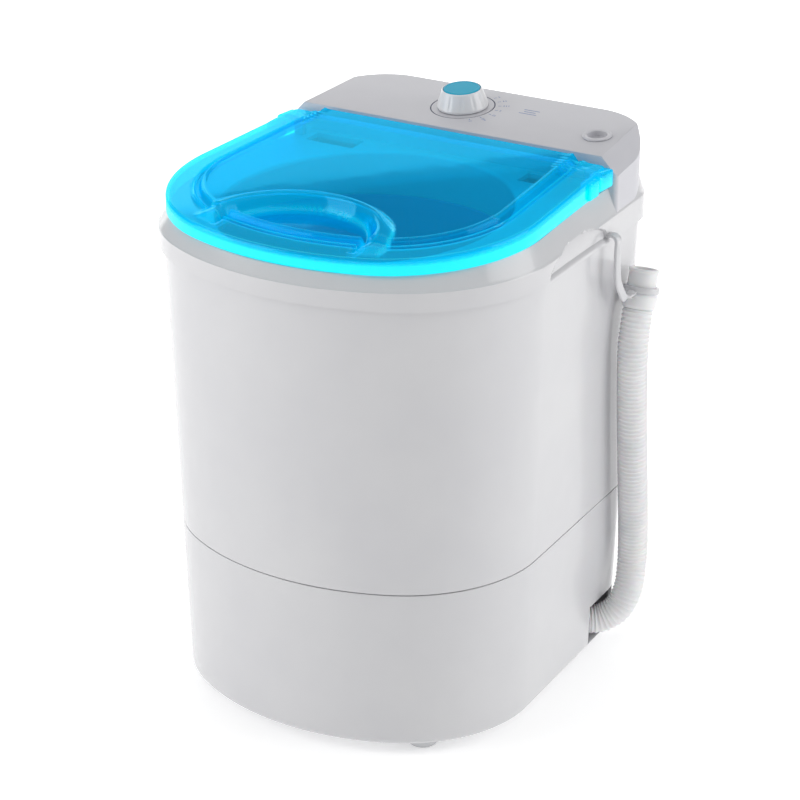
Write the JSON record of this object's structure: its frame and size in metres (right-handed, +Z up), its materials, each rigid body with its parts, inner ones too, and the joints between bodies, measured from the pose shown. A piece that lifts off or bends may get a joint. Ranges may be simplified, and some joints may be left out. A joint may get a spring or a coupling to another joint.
{
  "type": "washing machine",
  "caption": "Compact top load washing machine with a D shaped white cabinet, a clear tinted hinged lid, a timer knob and a drain hose hooked on its side.",
  "frame": {"origin": "centre of the bounding box in plan, at the underside of the feet", "axes": "+X to the right seen from the front, -Y to the front, +Z up"},
  "size_m": [0.3806, 0.388, 0.5149],
  "materials": {
    "white_plastic": "glossy moulded white",
    "grey_plastic": "satin moulded grey",
    "black_rubber": "matte black rubber",
    "foot_rubber": "pale grey rubber",
    "black_plastic": "satin black",
    "knob_plastic": "satin white",
    "cyan_plastic": "glossy cyan",
    "lid_clear": "clear cyan tinted plastic",
    "tub_plastic": "smooth blue moulding",
    "pulsator_plastic": "smooth blue moulding",
    "steel": "zinc plated",
    "cast_aluminium": "as cast",
    "bronze": "sintered",
    "motor_paint": "grey enamel",
    "hose_plastic": "satin white flexible plastic"
  },
  "bodies": {
    "cabinet": {"base_shell": "white_plastic", "bottom_cover": "grey_plastic", "foot_1": "foot_rubber", "foot_2": "foot_rubber", "foot_3": "foot_rubber", "foot_4": "foot_rubber", "cover_screw_1": "steel", "cover_screw_2": "steel", "cover_screw_3": "steel", "cover_screw_4": "steel", "cord_gland": "black_rubber", "casing": "white_plastic", "rear_cover": "white_plastic", "rear_screw_1": "steel", "rear_screw_2": "steel", "rear_screw_3": "steel", "rear_screw_4": "steel", "top_frame": "white_plastic", "control_panel": "white_plastic", "inlet_port": "white_plastic", "timer_body": "black_plastic", "hinge_pin_left": "steel", "hinge_pin_right": "steel", "wash_tub": "tub_plastic", "shaft_seal": "black_rubber", "bearing_housing": "cast_aluminium", "upper_bush": "bronze", "lower_bush": "bronze", "motor_bracket": "steel", "bracket_screw_1": "steel", "bracket_screw_2": "steel", "bracket_screw_3": "steel", "motor": "motor_paint", "drive_belt": "black_rubber", "capacitor": "grey_plastic", "drain_pipe": "hose_plastic", "drain_hose": "hose_plastic", "hose_cuff": "hose_plastic", "hose_hanger": "white_plastic"},
    "lid": {"lid": "lid_clear"},
    "timer_knob": {"timer_knob": "knob_plastic", "knob_cap": "cyan_plastic", "timer_shaft": "steel"},
    "pulsator": {"pulsator": "pulsator_plastic", "pulsator_screw": "steel", "drive_shaft": "steel", "driven_pulley": "cast_aluminium"},
    "motor_rotor": {"motor_shaft": "steel", "motor_pulley": "cast_aluminium"}
  },
  "joints": [
    {"name": "lid_hinge", "type": "hinge", "parent": "cabinet", "child": "lid", "pos_m": [0, 0.081, 0.47745], "axis": [-1, 0, 0], "range_deg": [0, 94]},
    {"name": "timer_turn", "type": "hinge", "parent": "cabinet", "child": "timer_knob", "pos_m": [-0.018, 0.147, 0.49472], "axis": [0, -0.1142, 0.9935], "range_deg": [-270, 0]},
    {"name": "pulsator_spin", "type": "hinge", "parent": "cabinet", "child": "pulsator", "pos_m": [0, -0.04, 0.15], "axis": [0, 0, 1], "continuous": true},
    {"name": "motor_spin", "type": "hinge", "parent": "cabinet", "child": "motor_rotor", "pos_m": [-0.088, 0.034, 0.1], "axis": [0, 0, 1], "continuous": true}
  ],
  "couplings": [
    {"joint": "motor_spin", "follows": "pulsator_spin", "ratio": 3.5}
  ]
}
